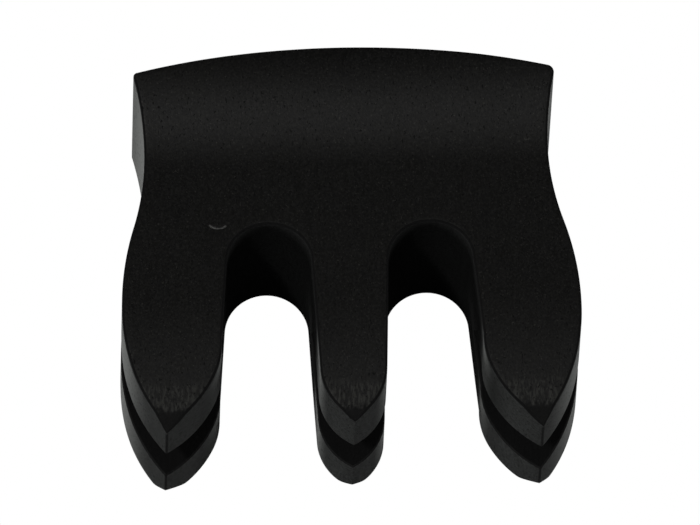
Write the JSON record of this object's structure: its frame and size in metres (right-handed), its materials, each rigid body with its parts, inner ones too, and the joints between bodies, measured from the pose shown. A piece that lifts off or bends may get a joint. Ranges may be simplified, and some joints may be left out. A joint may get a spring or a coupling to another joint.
{
  "type": "violin bridge mute",
  "caption": "Carved hardwood mute that is pushed onto a violin's bridge: a rounded head above pointed prongs, with arches for the strings and a slot for the bridge.",
  "frame": {"origin": "centre of the bounding box in plan, on the surface that the mute lies on with its back down", "axes": "+X across the prongs, +Y from the prong tips to the head, +Z out of the front face; the strings run along Z and the bridge enters the slot along +Y"},
  "size_m": [0.0316, 0.0285, 0.013],
  "materials": {
    "ebony": "near-black ebony, satin hand polish, fine grain running from the prongs to the head"
  },
  "bodies": {
    "root": {"mute_body": "ebony"}
  },
  "joints": []
}
